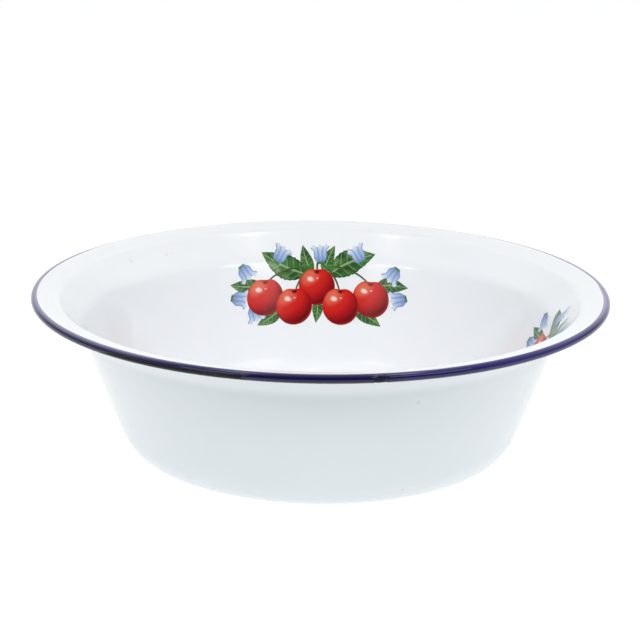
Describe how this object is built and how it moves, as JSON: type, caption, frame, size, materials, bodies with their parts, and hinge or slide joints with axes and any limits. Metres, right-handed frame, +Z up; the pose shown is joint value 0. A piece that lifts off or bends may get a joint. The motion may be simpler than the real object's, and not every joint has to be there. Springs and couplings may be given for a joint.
{
  "type": "enamel bowl",
  "caption": "Wide shallow enamelled steel bowl with a flat base, steep wall, sloping shoulder, broad lip and rolled blue rim, with printed fruit sprays on its inner wall.",
  "frame": {"origin": "middle of the underside, on the surface that the bowl stands on", "axes": "+Z up along the bowl's axis; +Y away from the picture's camera, to the wall with the back print"},
  "size_m": [0.24, 0.24, 0.0682],
  "materials": {
    "sheet_steel": "pickled cold-rolled sheet under enamel",
    "dark_ground_enamel": "fired blue-black ground coat",
    "white_enamel": "glossy fired white cover coat",
    "cobalt_enamel": "glossy fired cobalt blue",
    "fired_print": "fired transfer print in red, green, blue and yellow"
  },
  "bodies": {
    "root": {"steel_bowl": "sheet_steel", "ground_coat_inside": "dark_ground_enamel", "ground_coat_outside": "dark_ground_enamel", "white_coat_inside": "white_enamel", "white_coat_outside": "white_enamel", "blue_rim_edging": "cobalt_enamel", "fruit_decal_back": "fired_print", "fruit_decal_right": "fired_print", "fruit_decal_left": "fired_print"}
  },
  "joints": []
}
